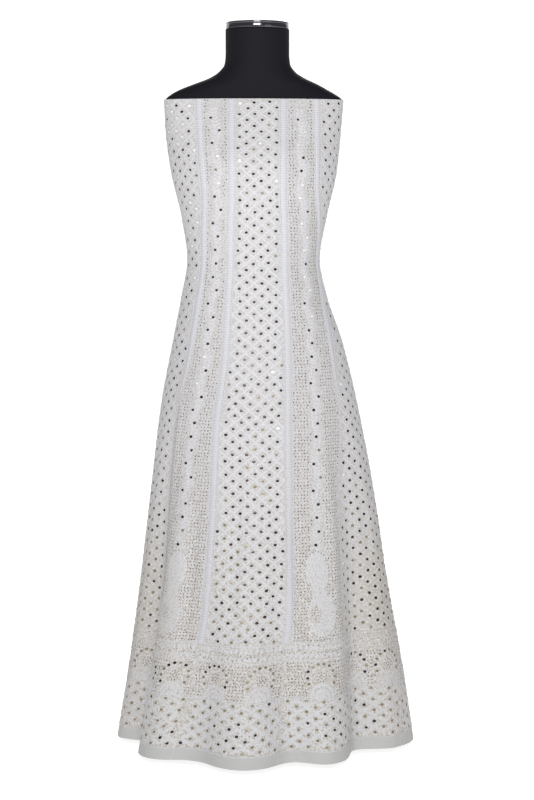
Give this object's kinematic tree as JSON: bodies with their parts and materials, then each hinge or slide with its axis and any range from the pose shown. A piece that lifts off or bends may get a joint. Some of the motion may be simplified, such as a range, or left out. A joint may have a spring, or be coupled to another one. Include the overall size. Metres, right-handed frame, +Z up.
{
  "type": "anarkali gown on a limbless dress form",
  "caption": "Long flared ten-gore anarkali gown with a straight open top edge, hung on a limbless dress form that stands on a pole and a round base",
  "frame": {"origin": "centre of the base's flat underside, on the floor", "axes": "+Z up; the front of the gown faces -Y; +X is to the viewer's right when facing the front"},
  "size_m": [0.5965, 0.5863, 1.442],
  "materials": {
    "cloth": "white georgette with thread embroidery, dotted grounds and small mirrors",
    "jersey": "black jersey cover",
    "chrome": "polished",
    "steel": "satin",
    "enamel": "satin black enamel"
  },
  "bodies": {
    "root": {"front_centre": "cloth", "front_vine_left": "cloth", "front_vine_right": "cloth", "front_side_left": "cloth", "front_side_right": "cloth", "back_side_left": "cloth", "back_side_right": "cloth", "back_vine_left": "cloth", "back_vine_right": "cloth", "back_centre": "cloth", "torso": "jersey", "neck_cap": "chrome", "pole": "steel", "base": "enamel"}
  },
  "joints": []
}
